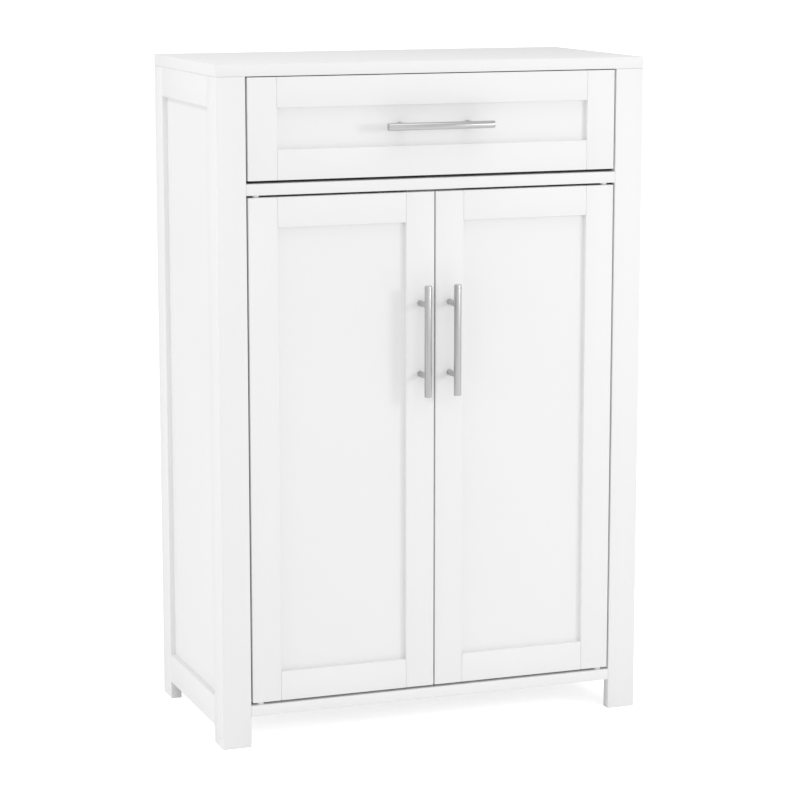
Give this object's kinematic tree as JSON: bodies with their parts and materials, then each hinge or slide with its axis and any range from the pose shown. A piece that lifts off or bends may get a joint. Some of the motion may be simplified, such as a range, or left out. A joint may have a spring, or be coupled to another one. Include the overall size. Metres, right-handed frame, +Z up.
{
  "type": "apothecary cabinet",
  "caption": "White free-standing storage cabinet on square legs, a framed drawer over a pair of framed doors with bar handles.",
  "frame": {"origin": "on the floor, in the middle of the footprint with the handles counted in", "axes": "+X to the right as seen from the front, +Y to the back, +Z up; the front faces -Y"},
  "size_m": [0.605, 0.335, 0.914],
  "materials": {
    "white_lacquer": "satin",
    "raw_board": "matt",
    "white_hardboard": "matt",
    "brushed_nickel": "brushed",
    "slide_steel": "zinc plated",
    "zinc_plated_steel": "zinc plated",
    "white_nylon": "moulded",
    "ferrite": "matt"
  },
  "bodies": {
    "carcass": {"top_board": "white_lacquer", "front_left_leg": "white_lacquer", "front_right_leg": "white_lacquer", "rear_left_leg": "white_lacquer", "rear_right_leg": "white_lacquer", "left_side_top_rail": "white_lacquer", "left_side_bottom_rail": "white_lacquer", "left_side_panel": "white_lacquer", "right_side_top_rail": "white_lacquer", "right_side_bottom_rail": "white_lacquer", "right_side_panel": "white_lacquer", "divider_board": "white_lacquer", "bottom_board": "white_lacquer", "back_panel": "white_hardboard", "rear_top_rail": "raw_board", "lower_shelf": "white_lacquer", "upper_shelf": "white_lacquer", "shelf_pins": "zinc_plated_steel", "runner_battens": "raw_board", "left_slide_outer": "slide_steel", "right_slide_outer": "slide_steel", "pivot_bushings": "white_nylon", "catch_housing": "white_nylon", "catch_magnets": "ferrite", "cam_fittings": "zinc_plated_steel", "carcass_screws": "zinc_plated_steel"},
    "drawer": {"drawer_front_left_stile": "white_lacquer", "drawer_front_right_stile": "white_lacquer", "drawer_front_top_rail": "white_lacquer", "drawer_front_bottom_rail": "white_lacquer", "drawer_front_panel": "white_lacquer", "drawer_left_side": "raw_board", "drawer_right_side": "raw_board", "drawer_inner_front": "raw_board", "drawer_back": "raw_board", "drawer_bottom": "raw_board", "drawer_handle": "brushed_nickel", "drawer_screws": "zinc_plated_steel", "left_slide_inner": "slide_steel", "right_slide_inner": "slide_steel"},
    "left_cage": {"left_slide_cage": "slide_steel"},
    "right_cage": {"right_slide_cage": "slide_steel"},
    "left_door": {"left_door_outer_stile": "white_lacquer", "left_door_inner_stile": "white_lacquer", "left_door_top_rail": "white_lacquer", "left_door_bottom_rail": "white_lacquer", "left_door_panel": "white_lacquer", "left_door_pivot_pins": "zinc_plated_steel", "left_door_handle": "brushed_nickel", "left_door_strike_plate": "zinc_plated_steel", "left_door_screws": "zinc_plated_steel"},
    "right_door": {"right_door_outer_stile": "white_lacquer", "right_door_inner_stile": "white_lacquer", "right_door_top_rail": "white_lacquer", "right_door_bottom_rail": "white_lacquer", "right_door_panel": "white_lacquer", "right_door_pivot_pins": "zinc_plated_steel", "right_door_handle": "brushed_nickel", "right_door_strike_plate": "zinc_plated_steel", "right_door_screws": "zinc_plated_steel"}
  },
  "joints": [
    {"name": "drawer_slide", "type": "slide", "parent": "carcass", "child": "drawer", "axis": [0, -1, 0], "range_m": [0, 0.165]},
    {"name": "left_cage_roll", "type": "slide", "parent": "carcass", "child": "left_cage", "axis": [0, -1, 0], "range_m": [0, 0.0825]},
    {"name": "right_cage_roll", "type": "slide", "parent": "carcass", "child": "right_cage", "axis": [0, -1, 0], "range_m": [0, 0.0825]},
    {"name": "left_door_swing", "type": "hinge", "parent": "carcass", "child": "left_door", "pos_m": [-0.248, -0.125, 0.4009], "axis": [0, 0, -1], "range_deg": [0, 115]},
    {"name": "right_door_swing", "type": "hinge", "parent": "carcass", "child": "right_door", "pos_m": [0.248, -0.125, 0.4009], "axis": [0, 0, 1], "range_deg": [0, 115]}
  ],
  "couplings": [
    {"joint": "left_cage_roll", "follows": "drawer_slide", "ratio": 0.5},
    {"joint": "right_cage_roll", "follows": "drawer_slide", "ratio": 0.5}
  ]
}
